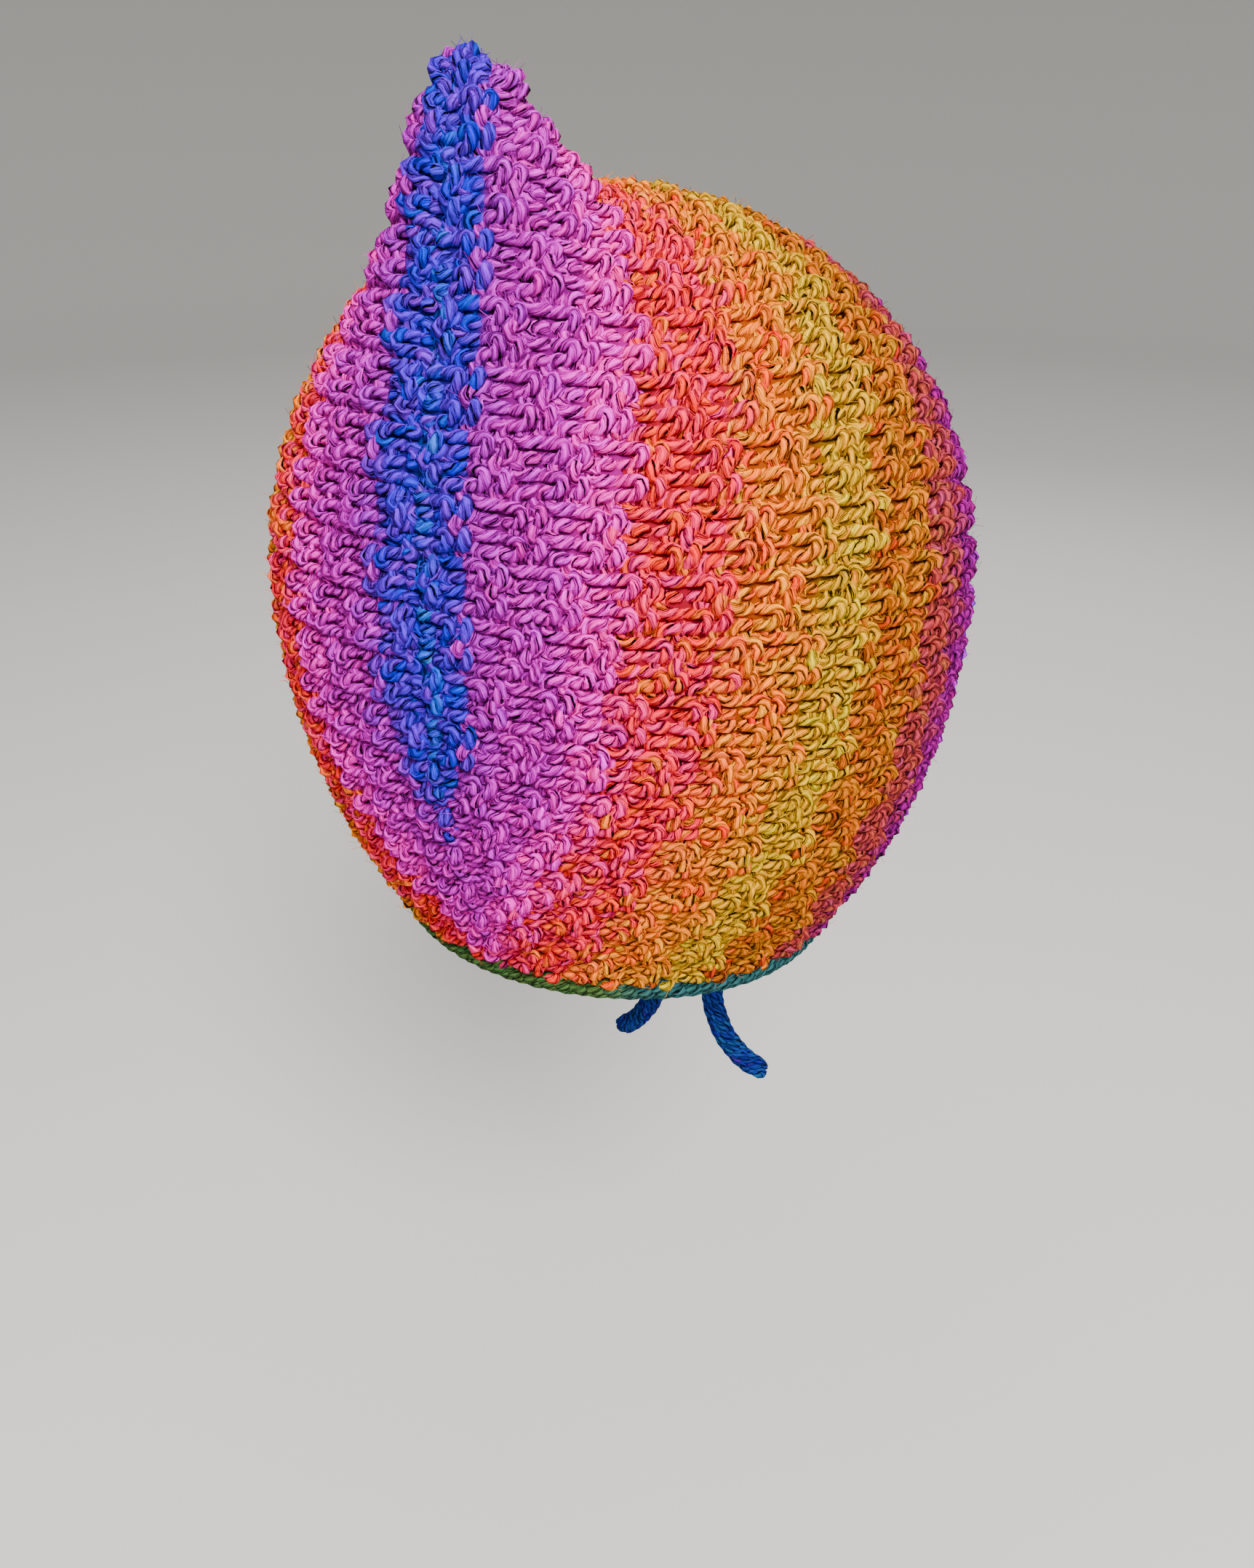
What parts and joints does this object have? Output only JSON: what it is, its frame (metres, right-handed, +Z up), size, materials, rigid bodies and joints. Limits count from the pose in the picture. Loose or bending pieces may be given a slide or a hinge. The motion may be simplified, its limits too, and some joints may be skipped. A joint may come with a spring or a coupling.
{
  "type": "pixie hat",
  "caption": "Child's knitted pixie hat: a folded rectangle sewn up the back, with a pointed corner behind the crown, a corded neck edge and hanging ties.",
  "frame": {"origin": "the inside of the crown, where the top of the head touches", "axes": "+Z up as worn, the face opening looks along -Y, +X to the wearer's left"},
  "size_m": [0.1414, 0.1394, 0.2581],
  "materials": {
    "striped_knit": "knitted in double moss stitch with a yarn that changes from blue through purple, pink, coral and orange to yellow and back",
    "green_cord": "knitted cord, green changing to dark teal",
    "blue_cord": "knitted cord, dark blue"
  },
  "bodies": {
    "root": {"hood": "striped_knit", "neck_cord": "green_cord", "tie_right": "blue_cord", "tie_left": "blue_cord"}
  },
  "joints": []
}
